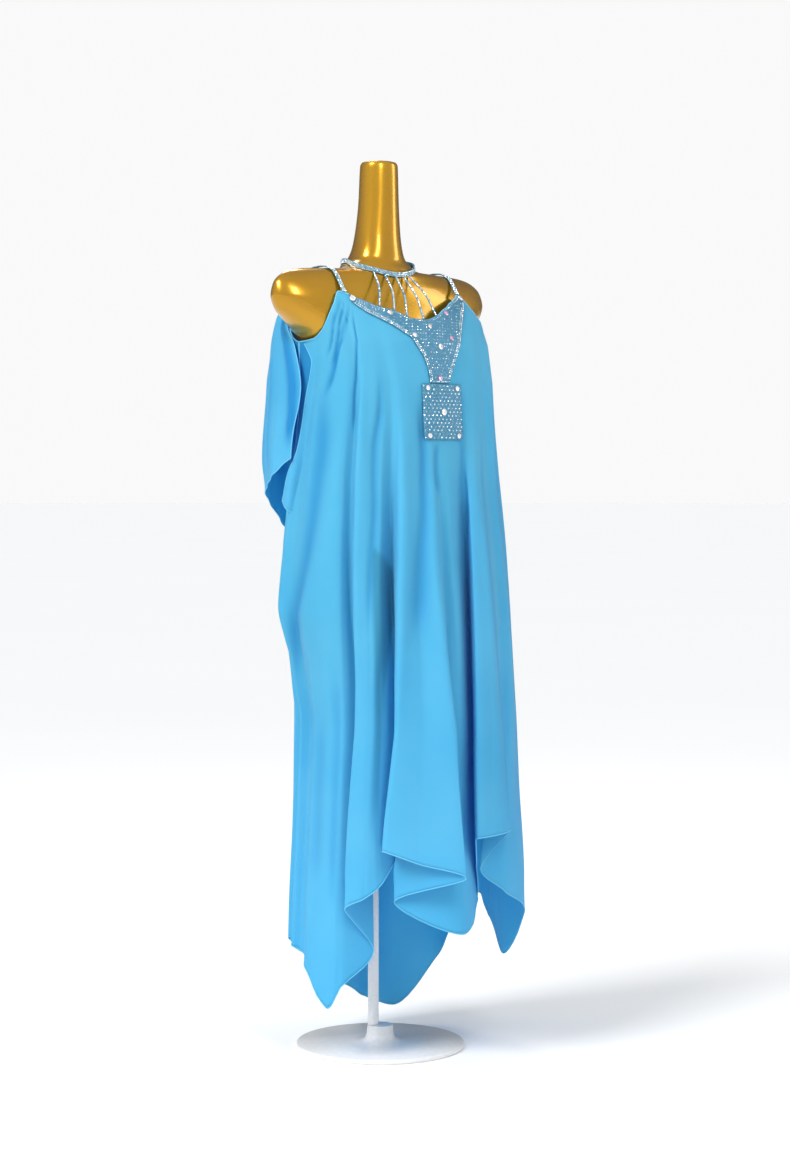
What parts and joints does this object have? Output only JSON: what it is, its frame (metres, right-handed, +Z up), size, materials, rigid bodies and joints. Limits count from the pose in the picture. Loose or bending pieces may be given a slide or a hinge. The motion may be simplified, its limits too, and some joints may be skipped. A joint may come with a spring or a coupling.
{
  "type": "latin dance dress on a dress form",
  "caption": "Loose sky-blue chiffon latin dance dress with a handkerchief hem, a back wing, a crystal yoke and choker, on a gold dress form with a stand.",
  "frame": {"origin": "centre of the underside of the stand's round base, on the floor", "axes": "+Z up; the front of the dress faces -Y; the wearer's right is -X"},
  "size_m": [0.4701, 0.4147, 1.462],
  "materials": {
    "chiffon": "soft sheer polyester chiffon",
    "crystal_trim": "grey-blue mesh set with small crystals",
    "stone": "faceted clear crystal",
    "gold": "gloss gold paint on a moulded torso",
    "enamel": "smooth white enamel"
  },
  "bodies": {
    "root": {"form_torso": "gold", "stand_base": "enamel", "stand_pole": "enamel", "front_panel": "chiffon", "back_panel": "chiffon", "wing": "chiffon", "front_overlap": "chiffon", "yoke": "crystal_trim", "tab": "crystal_trim", "strap_right": "crystal_trim", "strap_left": "crystal_trim", "choker": "crystal_trim", "strand_1": "crystal_trim", "strand_2": "crystal_trim", "strand_3": "crystal_trim", "strand_4": "crystal_trim", "strand_5": "crystal_trim", "stone_joint_right": "stone", "stone_joint_left": "stone", "stone_neck_right": "stone", "stone_neck_mid": "stone", "stone_neck_left": "stone", "stone_centre": "stone", "stone_star": "stone", "stone_left": "stone", "stone_stem": "stone", "stone_tab_top_right": "stone", "stone_tab_top_left": "stone", "stone_tab_low_right": "stone", "stone_tab_low_left": "stone", "stone_tab_centre": "stone"}
  },
  "joints": []
}
